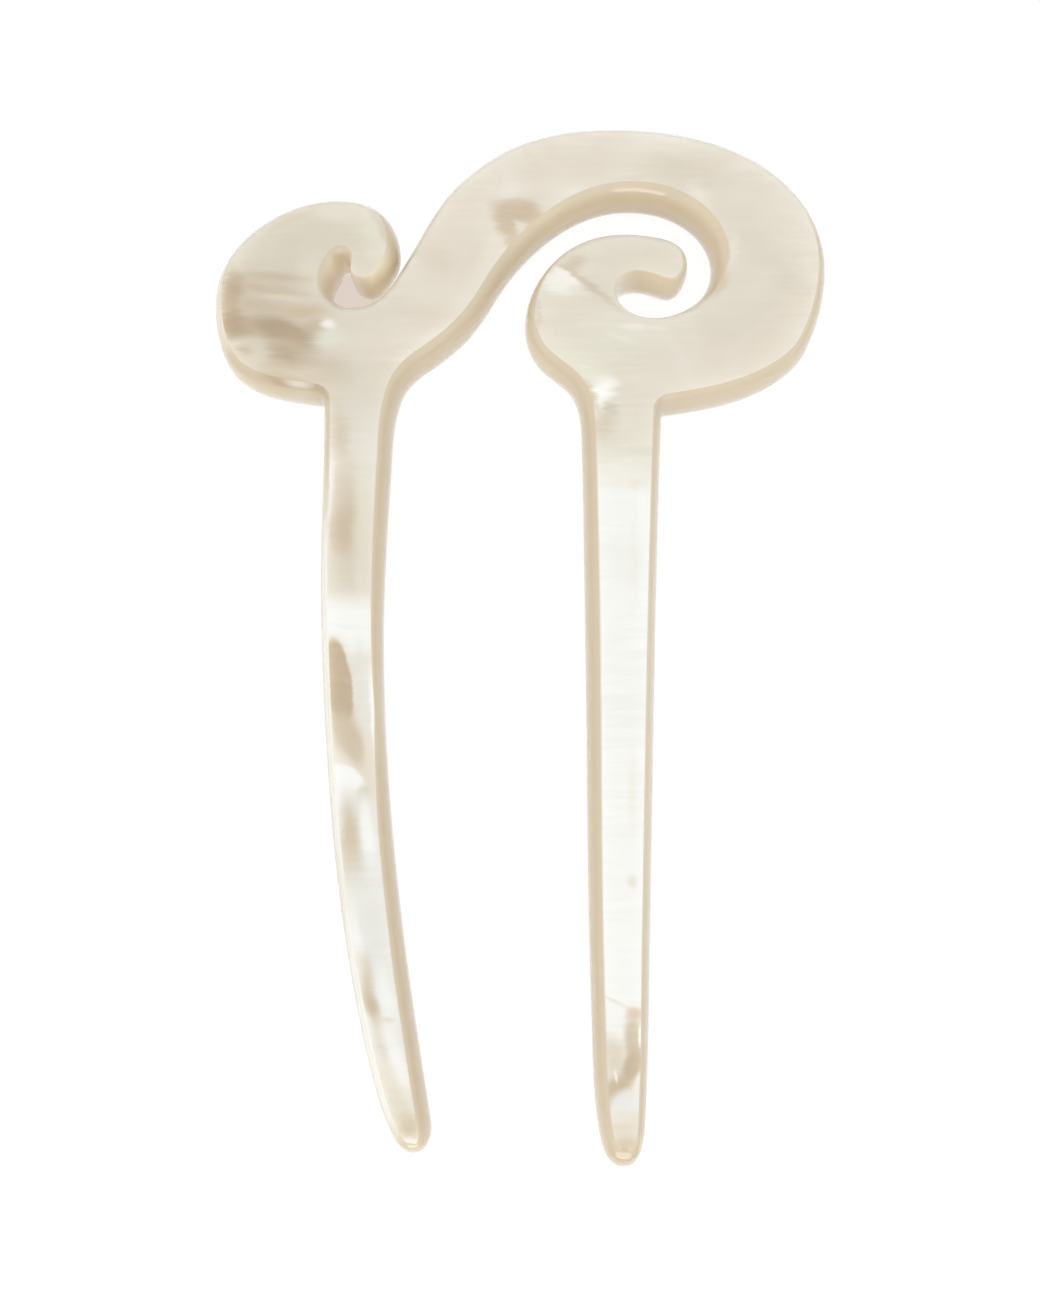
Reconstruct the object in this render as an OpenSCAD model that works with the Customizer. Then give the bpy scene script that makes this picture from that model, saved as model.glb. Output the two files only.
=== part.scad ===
// French hair pin: two prongs under a head of two curls, joined by an arch, cut from one sheet.
// Millimetres. X runs across the prongs, +Y from the tips to the head, +Z out of the front face.
// The pin lies on its back face, with the origin in the middle of its outline.

/* [Size] */
// Overall length, from the top of the arch to the tip of the longer prong
pin_length = 115; // [95:1:135]
// Thickness of the sheet that the pin is cut from
sheet_t = 4.8; // [3.6:0.1:6]

/* [Edges] */
// Share of the rim widths below that is rounded away, 1 for a fully tumbled edge
rounding = 1; // [0.5:0.05:1]
// Height of the rounded nose above the left tip, at the drawn length
left_nose = 1.9; // [1.4:0.1:2.4]
// Height of the rounded nose above the right tip, at the drawn length
right_nose = 3.1; // [1.4:0.1:3.6]

/* [Fineness] */
// Longest step along the outline, at the drawn length
step_max = 4; // [1.5:0.5:6]
// Largest turn of the outline in one step, in degrees
turn_max = 14; // [8:1:20]
// Number of steps over the rounded edge, from the back face to the front face
edge_steps = 8; // [6:2:16]

/* [Hidden] */

tip_zone_y = -50;   // below this the nose heights take over from the rim widths

// Columns of the tables: place, direction of travel in degrees, and width of the rounded rim.
// They draw the pin 115 mm long, and the finished solid is brought to pin_length.
X = 0;
Y = 1;
HEADING = 2;
RIM = 3;

// The outline at mid thickness, clockwise from the left tip. Each table is one stretch of it.
LEFT_PRONG_OUTER = [
  [-11.8, -55.9,  180, 1.20],
  [-14.4, -53.5,  116, 1.35],
  [-16.5, -47.3,  104, 1.35],
  [-19.8, -30.0,   98, 1.35],
  [-21.4, -14.0,   94, 1.35],
  [-22.2,   5.0,   91, 1.35],
  [-21.8,  27.0,   90, 1.20],
];
LEFT_CURL_OUTER = [
  [-22.4,  27.7,  172, 1.20],
  [-30.5,  29.7,  150, 1.35],
  [-33.3,  33.8,  105, 1.35],
  [-33.3,  41.1,   70, 1.35],
  [-26.1,  48.3,   25, 1.35],
  [-20.0,  49.7,    0, 1.35],
  [-15.2,  48.3,  -40, 1.35],
  [-13.4,  44.2,  -90, 1.35],
  [-14.6,  41.5, -128, 1.00],
];
LEFT_CURL_SLOT = [
  [-17.1,  40.2,  180, 0.55],
  [-18.8,  41.6,   93, 0.35],
  [-19.4,  43.0,  180, 1.10],
  [-20.1,  41.7, -122, 1.75],
  [-20.9,  39.8,  -93, 1.40],
  [-19.0,  38.0,   -2, 1.35],
  [-16.1,  38.6,   34, 1.35],
];
ARM_AND_ARCH_OUTER = [
  [-12.4,  43.4,   59, 1.35],
  [ -8.7,  49.4,   53, 1.35],
  [ -2.8,  54.5,   31, 1.35],
  [  4.7,  57.1,   10, 1.35],
  [ 10.4,  57.5,    0, 1.35],
  [ 22.2,  55.7,  -19, 1.35],
  [ 30.6,  50.3,  -49, 1.35],
  [ 33.9,  42.0,  -90, 1.35],
  [ 31.8,  33.4, -117, 1.35],
  [ 28.6,  30.2, -148, 1.35],
  [ 16.4, 26.65, -172, 1.20],
];
RIGHT_PRONG = [
  [15.75,  26.0,  -92, 1.25],
  [ 14.5, -33.0,  -91, 1.30],
  [ 14.0, -52.0,  -93, 1.15],
  [ 12.9, -56.8, -125, 1.20],
  [ 11.5, -57.5,  180, 1.35],
  [  8.7, -53.0,   99, 1.70],
  [  7.9, -40.0,   92, 1.70],
  [  7.2,   3.5,   91, 1.90],
  [  6.8,  24.0,   92, 1.75],
];
RIGHT_CURL_OUTER = [
  [  4.9,  29.6,  139, 1.35],
  [  1.8,  32.3,  128, 1.35],
  [  0.5,  36.3,   88, 1.35],
  [  2.9,  42.2,   50, 1.35],
  [  9.8,  45.9,    7, 1.35],
  [ 15.4,  45.6,  -11, 1.35],
  [ 18.6,  42.9,  -84, 1.00],
];
RIGHT_CURL_SLOT = [
  [ 16.8,  40.2,  180, 0.40],
  [ 13.4,  41.0,  174, 0.40],
  [ 10.7,  39.5,  -93, 0.35],
  [ 14.4,  36.6,    0, 0.70],
  [ 18.9,  38.1,   34, 1.40],
];
ARCH_INNER = [
  [ 21.3,  42.4,   87, 1.95],
  [ 18.5,  47.8,  144, 1.50],
  [ 12.0,  49.7,  180, 1.35],
  [  5.5, 47.85, -150, 1.35],
  [ -0.6,  42.6, -129, 1.35],
  [ -2.9,  39.3, -121, 1.35],
  [ -6.6,  34.5, -137, 1.35],
  [-10.2,  31.7, -147, 1.35],
  [-13.2,  28.5, -112, 1.35],
];
LEFT_PRONG_INNER = [
  [-14.5,  19.3,  -94, 1.35],
  [-15.3,   1.0,  -90, 1.05],
  [-15.15,  -7.0, -87.9, 0.80],
  [-14.3, -20.0,  -85, 1.35],
  [-12.3, -37.4,  -82, 1.50],
  [-10.2, -51.3,  -81, 1.45],
  [-10.3, -54.9, -117, 1.15],
];
ROWS = concat(
  LEFT_PRONG_OUTER, LEFT_CURL_OUTER, LEFT_CURL_SLOT, ARM_AND_ARCH_OUTER, RIGHT_PRONG,
  RIGHT_CURL_OUTER, RIGHT_CURL_SLOT, ARCH_INNER, LEFT_PRONG_INNER
);

// An angle brought between -180 and 180
function wrapped(angle) = angle - 360 * floor((angle + 180) / 360);

// Length of a curve's handle, as a share of the chord, for the turns at its own and its other end.
// Two rows of a circle give very nearly the circle's own arc.
function handle(own, other) =
  let (
    bend = sqrt(2) * (sin(own) - sin(other) / 16) * (sin(other) - sin(own) / 16) * (cos(own) - cos(other)),
    spread = 1 + (sqrt(5) - 1) / 2 * cos(own) + (3 - sqrt(5)) / 2 * cos(other)
  )
  (2 + bend) / (3 * spread);

function bezier(a, b, c, d, t) =
  pow(1 - t, 3) * a + 3 * pow(1 - t, 2) * t * b + 3 * (1 - t) * t * t * c + pow(t, 3) * d;

// The stretch from one row to the next, as [x, y, rim] points without the last one
function stretch(row, next) =
  let (
    start = [row[X], row[Y]],
    end = [next[X], next[Y]],
    chord = norm(end - start),
    slope = atan2(end.y - start.y, end.x - start.x),
    leave = wrapped(row[HEADING] - slope),
    arrive = wrapped(slope - next[HEADING]),
    reach = chord * handle(leave, arrive),
    back = chord * handle(arrive, leave),
    b = start + reach * [cos(row[HEADING]), sin(row[HEADING])],
    c = end - back * [cos(next[HEADING]), sin(next[HEADING])],
    steps = ceil(max(chord / step_max, (abs(leave) + abs(arrive)) / turn_max))
  )
  [for (i = [0 : steps - 1])
    let (
      t = i / steps,
      p = bezier(start, b, c, end, t)
    )
    [p.x, p.y, row[RIM] + (next[RIM] - row[RIM]) * t]];

outline = [for (i = [0 : len(ROWS) - 1]) each stretch(ROWS[i], ROWS[(i + 1) % len(ROWS)])];
count = len(outline);
xs = [for (p = outline) p.x];
ys = [for (p = outline) p.y];
middle = [(min(xs) + max(xs)) / 2, (min(ys) + max(ys)) / 2];

// Outward normal of the outline at one of its points
function outward(i) =
  let (
    before = outline[(i + count - 1) % count],
    after = outline[(i + 1) % count],
    along = [after.x - before.x, after.y - before.y]
  )
  [-along.y, along.x] / norm(along);

// How far the face's edge lies inside the outline at one of its points. Beside a tip it is the rim's
// width, and at the tip it is the height of that tip's rounded nose.
function inset(i) =
  let (
    p = outline[i],
    n = outward(i),
    nose = p.x < 0 ? left_nose : right_nose,
    depth = max(0, min(1, (tip_zone_y - p.y) / (tip_zone_y - min(ys)))),
    lift = p.z + (nose - p.z) * depth * depth * (3 - 2 * depth)
  )
  rounding * [n.x * p.z, n.y * lift];

insets = [for (i = [0 : count - 1]) inset(i)];

// One ring of the edge, which is half an ellipse from the back face, -90, to the front face, 90
function ring(angle) =
  [for (i = [0 : count - 1])
    let (p = [outline[i].x, outline[i].y] - middle - insets[i] * (1 - cos(angle)))
    [p.x, p.y, sheet_t / 2 * (1 + sin(angle))]];

// The whole pin: rings from the back face to the front face, closed by the two flat faces
module hairpin() {
  points = [for (k = [0 : edge_steps]) each ring(-90 + 180 * k / edge_steps)];
  back_face = [for (i = [count - 1 : -1 : 0]) i];
  front_face = [for (i = [0 : count - 1]) edge_steps * count + i];
  edge = [for (k = [0 : edge_steps - 1], i = [0 : count - 1])
    let (
      low = k * count + i,
      low_next = k * count + (i + 1) % count,
      high = low + count,
      high_next = low_next + count
    )
    each [[low, low_next, high_next], [low, high_next, high]]];
  color([0.89, 0.86, 0.80])
    resize([0, pin_length, 0], auto = [true, false, false])
      polyhedron(points = points, faces = concat([back_face, front_face], edge), convexity = 10);
}

hairpin();
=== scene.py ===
# %% [markdown]
# # A french hair pin in pearl acetate
#
# A french pin holds a bun with two long prongs under a decorated head. This one is sawn from a single
# sheet of cellulose acetate, 4.8 mm thick, and then tumbled for days in drums of wooden pegs, which
# rounds every edge and brings up the gloss. There are no joints and no second part, so everything
# that the eye enjoys is in three things: the outline, the rounded rim, and the pearl inside the sheet.
#
# The lesson follows that order. It loads the measured model, draws the outline, sweeps the rim around
# it, mixes the pearl acetate, and then adds soft lights, a white table and a camera.

import math

import bpy
import numpy as np
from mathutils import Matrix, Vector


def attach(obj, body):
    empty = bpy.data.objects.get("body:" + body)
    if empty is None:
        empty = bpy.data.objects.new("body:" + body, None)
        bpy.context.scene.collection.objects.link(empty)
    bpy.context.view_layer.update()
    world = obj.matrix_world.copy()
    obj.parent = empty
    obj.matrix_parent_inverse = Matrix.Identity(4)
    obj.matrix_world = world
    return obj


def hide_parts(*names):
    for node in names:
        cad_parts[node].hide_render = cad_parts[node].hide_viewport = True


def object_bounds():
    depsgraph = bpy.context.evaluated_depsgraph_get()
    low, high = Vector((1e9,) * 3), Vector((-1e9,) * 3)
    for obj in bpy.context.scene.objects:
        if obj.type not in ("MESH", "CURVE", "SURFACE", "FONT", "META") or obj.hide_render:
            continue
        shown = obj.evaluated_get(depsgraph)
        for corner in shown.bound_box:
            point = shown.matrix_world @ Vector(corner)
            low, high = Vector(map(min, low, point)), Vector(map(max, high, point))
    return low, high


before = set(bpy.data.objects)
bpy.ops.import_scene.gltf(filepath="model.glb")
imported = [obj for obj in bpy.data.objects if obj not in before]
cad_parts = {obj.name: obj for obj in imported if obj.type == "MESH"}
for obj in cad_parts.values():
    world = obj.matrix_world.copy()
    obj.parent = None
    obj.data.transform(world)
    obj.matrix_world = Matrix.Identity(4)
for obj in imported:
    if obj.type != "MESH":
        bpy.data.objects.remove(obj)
cad_low, cad_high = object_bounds()

MM = 0.001
thickness = (cad_high.z - cad_low.z) / MM
length = (cad_high.y - cad_low.y) / MM
print(f"the measured pin is {length:.1f} mm long and {thickness:.1f} mm thick")

# %% [markdown]
# ## The outline
#
# A pattern maker draws such a pin with a few strokes of a spline: a long prong, a curl, an arm that
# swings over, a second curl, a second prong. Tracing hundreds of points would copy every wobble of
# the trace. Here each row of a short table is a place where the pen changes its mind, with its
# position, the direction in which it travels, and the width of the rounded rim there. The rows were
# picked one by one along the silhouette measured in the photograph, and rounded. Between two rows runs
# one cubic curve, whose handles follow the rule that letter designers use, so that rows taken from a
# circle give that circle back. The rows go clockwise round the pin.

# %% The rows of the outline
# Columns: x and y in mm, direction of travel in degrees, width of the rounded rim in mm.
LEFT_PRONG_OUTER = [
    [-11.8, -55.9, 180, 1.20],
    [-14.4, -53.5, 116, 1.35],
    [-16.5, -47.3, 104, 1.35],
    [-19.8, -30.0, 98, 1.35],
    [-21.4, -14.0, 94, 1.35],
    [-22.2, 5.0, 91, 1.35],
    [-21.8, 27.0, 90, 1.20],
]
LEFT_CURL_OUTER = [
    [-22.4, 27.7, 172, 1.20],
    [-30.5, 29.7, 150, 1.35],
    [-33.3, 33.8, 105, 1.35],
    [-33.3, 41.1, 70, 1.35],
    [-26.1, 48.3, 25, 1.35],
    [-20.0, 49.7, 0, 1.35],
    [-15.2, 48.3, -40, 1.35],
    [-13.4, 44.2, -90, 1.35],
    [-14.6, 41.5, -128, 1.00],
]
LEFT_CURL_SLOT = [
    [-17.1, 40.2, 180, 0.55],
    [-18.8, 41.6, 93, 0.35],
    [-19.4, 43.0, 180, 1.10],
    [-20.1, 41.7, -122, 1.75],
    [-20.9, 39.8, -93, 1.40],
    [-19.0, 38.0, -2, 1.35],
    [-16.1, 38.6, 34, 1.35],
]
ARM_AND_ARCH_OUTER = [
    [-12.4, 43.4, 59, 1.35],
    [-8.7, 49.4, 53, 1.35],
    [-2.8, 54.5, 31, 1.35],
    [4.7, 57.1, 10, 1.35],
    [10.4, 57.5, 0, 1.35],
    [22.2, 55.7, -19, 1.35],
    [30.6, 50.3, -49, 1.35],
    [33.9, 42.0, -90, 1.35],
    [31.8, 33.4, -117, 1.35],
    [28.6, 30.2, -148, 1.35],
    [16.4, 26.65, -172, 1.20],
]
RIGHT_PRONG = [
    [15.75, 26.0, -92, 1.25],
    [14.5, -33.0, -91, 1.30],
    [14.0, -52.0, -93, 1.15],
    [12.9, -56.8, -125, 1.20],
    [11.5, -57.5, 180, 1.35],
    [8.7, -53.0, 99, 1.70],
    [7.9, -40.0, 92, 1.70],
    [7.2, 3.5, 91, 1.90],
    [6.8, 24.0, 92, 1.75],
]
RIGHT_CURL_OUTER = [
    [4.9, 29.6, 139, 1.35],
    [1.8, 32.3, 128, 1.35],
    [0.5, 36.3, 88, 1.35],
    [2.9, 42.2, 50, 1.35],
    [9.8, 45.9, 7, 1.35],
    [15.4, 45.6, -11, 1.35],
    [18.6, 42.9, -84, 1.00],
]
RIGHT_CURL_SLOT = [
    [16.8, 40.2, 180, 0.40],
    [13.4, 41.0, 174, 0.40],
    [10.7, 39.5, -93, 0.35],
    [14.4, 36.6, 0, 0.70],
    [18.9, 38.1, 34, 1.40],
]
ARCH_INNER = [
    [21.3, 42.4, 87, 1.95],
    [18.5, 47.8, 144, 1.50],
    [12.0, 49.7, 180, 1.35],
    [5.5, 47.85, -150, 1.35],
    [-0.6, 42.6, -129, 1.35],
    [-2.9, 39.3, -121, 1.35],
    [-6.6, 34.5, -137, 1.35],
    [-10.2, 31.7, -147, 1.35],
    [-13.2, 28.5, -112, 1.35],
]
LEFT_PRONG_INNER = [
    [-14.5, 19.3, -94, 1.35],
    [-15.3, 1.0, -90, 1.05],
    [-15.15, -7.0, -87.9, 0.80],
    [-14.3, -20.0, -85, 1.35],
    [-12.3, -37.4, -82, 1.50],
    [-10.2, -51.3, -81, 1.45],
    [-10.3, -54.9, -117, 1.15],
]
ROWS = np.array(
    LEFT_PRONG_OUTER + LEFT_CURL_OUTER + LEFT_CURL_SLOT + ARM_AND_ARCH_OUTER + RIGHT_PRONG
    + RIGHT_CURL_OUTER + RIGHT_CURL_SLOT + ARCH_INNER + LEFT_PRONG_INNER
)
print(f"{len(ROWS)} rows draw the whole pin")

# %% Draw one smooth curve through the rows


def handle(own, other):
    """Length of a curve's handle as a share of the chord, from the turns at its own and its other end.

    It is (2 + bend) / (3 * spread), where bend grows with the product of the two turns' sines and
    spread mixes their cosines by the golden ratio. Two rows of a circle give nearly its own arc.
    """
    bend = np.sqrt(2) * (np.sin(own) - np.sin(other) / 16) * (np.sin(other) - np.sin(own) / 16)
    bend = bend * (np.cos(own) - np.cos(other))
    spread = 1 + (np.sqrt(5) - 1) / 2 * np.cos(own) + (3 - np.sqrt(5)) / 2 * np.cos(other)
    return (2 + bend) / (3 * spread)


def wrapped(angle):
    """The same angle, brought between minus half a turn and half a turn."""
    return (angle + np.pi) % (2 * np.pi) - np.pi


def direction(angle):
    """Unit vectors that point along the angles."""
    return np.stack([np.cos(angle), np.sin(angle)], axis=-1)


def drawn_curve(rows, spacing):
    """Closed curve through the rows, as points at an even spacing, with columns x, y and rim width.

    Between two rows the point is the cubic (1-t)^3 A + 3 (1-t)^2 t B + 3 (1-t) t^2 C + t^3 D, with B
    and C one handle along the rows' directions, and the rim width runs evenly from row to row.
    """
    samples = 60
    t = np.linspace(0, 1, samples, endpoint=False)[None, :, None]
    start, heading, rim = rows[:, :2], np.radians(rows[:, 2]), rows[:, 3]
    end, next_heading = np.roll(start, -1, axis=0), np.roll(heading, -1)
    chord = np.linalg.norm(end - start, axis=1)
    slope = np.arctan2(end[:, 1] - start[:, 1], end[:, 0] - start[:, 0])
    leave, arrive = wrapped(heading - slope), wrapped(slope - next_heading)
    out = start + (chord * handle(leave, arrive))[:, None] * direction(heading)
    back = end - (chord * handle(arrive, leave))[:, None] * direction(next_heading)
    a, b, c, d = (p[:, None, :] for p in (start, out, back, end))
    points = (1 - t) ** 3 * a + 3 * (1 - t) ** 2 * t * b + 3 * (1 - t) * t ** 2 * c + t ** 3 * d
    rims = rim[:, None] + (np.roll(rim, -1) - rim)[:, None] * t[:, :, 0]
    raw = np.concatenate([points.reshape(-1, 2), rims.reshape(-1, 1)], axis=1)
    raw = np.vstack([raw, raw[:1]])
    travelled = np.concatenate([[0], np.cumsum(np.linalg.norm(np.diff(raw[:, :2], axis=0), axis=1))])
    count = round(travelled[-1] / spacing)
    stops = np.linspace(0, travelled[-1], count, endpoint=False)
    return np.stack([np.interp(stops, travelled, raw[:, k]) for k in range(3)], axis=1)


SPACING = 0.28
curve = drawn_curve(ROWS, SPACING)
middle = (curve[:, :2].min(axis=0) + curve[:, :2].max(axis=0)) / 2
curve[:, :2] -= middle
curve[:, :2] *= length / np.ptp(curve[:, 1])
print(f"{len(curve)} points, {len(curve) * SPACING:.0f} mm round, {np.ptp(curve[:, 0]):.2f} mm wide")

# %% [markdown]
# ## The rounded rim
#
# Tumbling takes the most off the corners and nearly nothing off the middle of the sheet's edge, so the
# section through the rim is close to half an ellipse: 4.8 mm high, and 1.35 mm from its crown to where
# the flat face begins. A Bevel modifier would make a round of equal radius and would tangle in the
# narrow slots. Carrying the half ellipse along the outline gives the true section everywhere, and one
# grid of numbers holds the whole rim. At a tip the section leans out into a longer nose, as the
# tumbling pegs reach it from three sides.

# %% Carry the half ellipse round the outline
TIP_ZONE_Y = -50.0
LEFT_NOSE = 1.9
RIGHT_NOSE = 3.1
EDGE_STEPS = 30


def outward_normals(points):
    """Unit normals to the left of travel, from each point's two neighbours on the closed curve."""
    along = np.roll(points, -1, axis=0) - np.roll(points, 1, axis=0)
    along /= np.linalg.norm(along, axis=1)[:, None]
    return np.stack([-along[:, 1], along[:, 0]], axis=1)


def smoothstep(value):
    """Eases from 0 to 1: three times the square less twice the cube."""
    value = np.clip(value, 0, 1)
    return value ** 2 * (3 - 2 * value)


def inset_vectors(curve):
    """How far the face's edge lies inside the outline.

    Along X it is the normal times the rim's width. Along Y it is the same, but it grows to the tip's
    nose height as the point goes down through the tip zone.
    """
    normal = outward_normals(curve[:, :2])
    nose = np.where(curve[:, 0] < 0, LEFT_NOSE, RIGHT_NOSE)
    depth = smoothstep((TIP_ZONE_Y - curve[:, 1]) / (TIP_ZONE_Y - curve[:, 1].min()))
    lift = curve[:, 2] + (nose - curve[:, 2]) * depth
    return normal * np.stack([curve[:, 2], lift], axis=1)


def rim_grid(curve, steps):
    """Grid of points over the rim: rings from the back face to the front face, along the outline.

    At angle a the ring is the outline less its inset times (1 - cos a), at the height of half the
    thickness times (1 + sin a). Angles crowd towards the faces, where the ellipse turns fastest.
    """
    even = np.linspace(-1, 1, steps + 1)
    angle = (np.pi / 2 * np.sin(np.pi / 2 * even))[:, None, None]
    flat = curve[None, :, :2] - inset_vectors(curve)[None] * (1 - np.cos(angle))
    height = np.broadcast_to(thickness / 2 * (1 + np.sin(angle)), flat[..., :1].shape)
    return np.concatenate([flat, height], axis=2)


grid = rim_grid(curve, EDGE_STEPS)
print(f"the rim is a grid of {grid.shape[0]} rings with {grid.shape[1]} points each")

# %% [markdown]
# ## The finished body
#
# The grid closes on itself along the outline, and each open side is closed by one flat many-sided
# face, the front and the back of the sheet. The flat faces are shaded flat and the rim smooth. The
# pin stands for the measured solid, so it takes that solid's place and rides on the same body.

# %% Turn the grid into a mesh


def closed_sweep(name, grid):
    """Mesh from a grid of rings: quads between neighbouring rings, and a flat polygon on each end."""
    rings, around = grid.shape[:2]
    ring, place = np.meshgrid(np.arange(rings - 1), np.arange(around), indexing="ij")
    beside = (place + 1) % around
    quads = np.stack([ring * around + place, ring * around + beside,
                      (ring + 1) * around + beside, (ring + 1) * around + place], axis=-1).reshape(-1, 4)
    back = np.arange(around)[::-1]
    front = np.arange(around) + (rings - 1) * around
    corners = np.concatenate([quads.ravel(), back, front])
    sizes = np.concatenate([np.full(len(quads), 4), [around, around]])
    mesh = bpy.data.meshes.new(name)
    mesh.vertices.add(rings * around)
    mesh.vertices.foreach_set("co", (grid * MM).astype(np.float32).ravel())
    mesh.loops.add(len(corners))
    mesh.loops.foreach_set("vertex_index", corners.astype(np.int32))
    mesh.polygons.add(len(sizes))
    mesh.polygons.foreach_set("loop_start", np.concatenate([[0], np.cumsum(sizes)[:-1]]).astype(np.int32))
    mesh.polygons.foreach_set("use_smooth", sizes == 4)
    mesh.update(calc_edges=True)
    mesh.validate()
    return mesh


pin_mesh = closed_sweep("pin_body", grid)
pin = bpy.data.objects.new("pin_body", pin_mesh)
bpy.context.scene.collection.objects.link(pin)
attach(pin, "root")
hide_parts("hairpin")
print(f"{len(pin_mesh.vertices)} vertices, {len(pin_mesh.polygons)} faces")

# %% [markdown]
# ## What pearl acetate is
#
# Cellulose acetate is a clear amber-tinted plastic made from cotton or wood pulp. For a pearl sheet the
# maker stirs thin mica platelets into the soft dough and presses it. The platelets lie down flat, like
# leaves, in swirling curtains. Where they lie level the sheet shines white, where they stand on edge
# one looks between them into the plastic, which is brown, and the saw cuts across all of them at the
# rim, so that the rim is tan all round.
#
# A photograph wrapped over the pin would hold all this for one view only. Here the curtains are soft
# ellipses with a place in the sheet, charted in one table, and the rim's tan follows from the way in
# which the surface faces. Both hold from every side.

# %% Two helpers, for colours and for nodes


def srgb(code):
    """Linear colour with alpha from a hex code: below 0.04 a straight line, above it a power of 2.4."""
    value = np.array([int(code[k:k + 2], 16) for k in (1, 3, 5)]) / 255
    linear = np.where(value <= 0.04045, value / 12.92, ((value + 0.055) / 1.055) ** 2.4)
    return (*linear.tolist(), 1.0)


def add_node(tree, kind, inputs=None, **settings):
    """Adds a node, sets its properties, and gives its sockets values or links them to other sockets."""
    node = tree.nodes.new(kind)
    for name, value in settings.items():
        setattr(node, name, value)
    for name, value in (inputs or {}).items():
        if isinstance(value, bpy.types.NodeSocket):
            tree.links.new(value, node.inputs[name])
        else:
            node.inputs[name].default_value = value
    return node


# A Mix node has sockets for each kind of data. These are the places of those for colours.
FACTOR, FIRST, SECOND = 0, 6, 7
MIXED = 2

SHADES = {
    "snow": "#e9e8e5",
    "ivory": "#e2e0d8",
    "milk": "#dad6cb",
    "cream": "#d3cbbf",
    "oat": "#cbc4b5",
    "sand": "#c4b8a4",
    "fawn": "#bbab93",
    "umber": "#ac997f",
    "shell": "#e4ddd8",
    "rose": "#cebcaa",
    "amber": "#c3b299",
    "celadon": "#d3d2c4",
    "ash": "#bab3a5",
    "olive": "#c6c2ad",
    "buff": "#d6c8af",
    "frost": "#e1e0dd",
    "mist": "#d5d4cf",
}
print(f"{len(SHADES)} shades of pearl, cream is {[round(v, 2) for v in srgb(SHADES['cream'])]}")

# %% [markdown]
# ## One curtain of platelets
#
# A curtain lies in the sheet as a flattened ball, long one way and narrow the other. The distance from
# its centre is measured in its own half sizes, so that 1 is its border, and the shade eases in across
# that border. This happens once for each row of the chart, so it is a node group: the same few nodes,
# used again with other numbers.
#
# Two curtains never quite ignore each other in a real sheet, so each is pushed aside by the shade that
# lies under it, a fifth of a millimetre at most. The push also makes the renderer work the curtains
# out one after another. All of them at once would not fit into the memory it has for one point.

# %% The node group for one curtain
CURTAIN_DEPTH = 5.5  # mm from a charted curtain's middle, on the front face, to its border below
PUSH_MM = 0.2
CURTAIN_SOCKETS = {
    "Position": "NodeSocketVector",
    "Under": "NodeSocketColor",
    "Shade": "NodeSocketColor",
    "Centre": "NodeSocketVector",
    "Turn": "NodeSocketVector",
    "Half size": "NodeSocketVector",
    "Outside": "NodeSocketFloat",
    "Inside": "NodeSocketFloat",
    "Strength": "NodeSocketFloat",
}

curtain = bpy.data.node_groups.new("pearl_curtain", "ShaderNodeTree")
for name, kind in CURTAIN_SOCKETS.items():
    curtain.interface.new_socket(name=name, in_out="INPUT", socket_type=kind)
curtain.interface.new_socket(name="Color", in_out="OUTPUT", socket_type="NodeSocketColor")
given = add_node(curtain, "NodeGroupInput").outputs
pushed = add_node(curtain, "ShaderNodeVectorMath", {
    0: given["Under"], 1: (PUSH_MM, PUSH_MM, 0), 2: given["Position"],
}, operation="MULTIPLY_ADD")
own = add_node(curtain, "ShaderNodeMapping", {
    "Vector": pushed.outputs["Vector"], "Location": given["Centre"],
    "Rotation": given["Turn"], "Scale": given["Half size"],
}, vector_type="TEXTURE")
far = add_node(curtain, "ShaderNodeVectorMath", {0: own.outputs["Vector"]}, operation="LENGTH")
share = add_node(curtain, "ShaderNodeMapRange", {
    "Value": far.outputs["Value"], "From Min": given["Outside"], "From Max": given["Inside"],
    "To Min": 0, "To Max": given["Strength"],
}, interpolation_type="SMOOTHSTEP")
laid = add_node(curtain, "ShaderNodeMix", {
    FACTOR: share.outputs["Result"], FIRST: given["Under"], SECOND: given["Shade"],
}, data_type="RGBA")
add_node(curtain, "NodeGroupOutput", {"Color": laid.outputs[MIXED]})
print(f"one curtain takes {len(curtain.nodes)} nodes")
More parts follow.
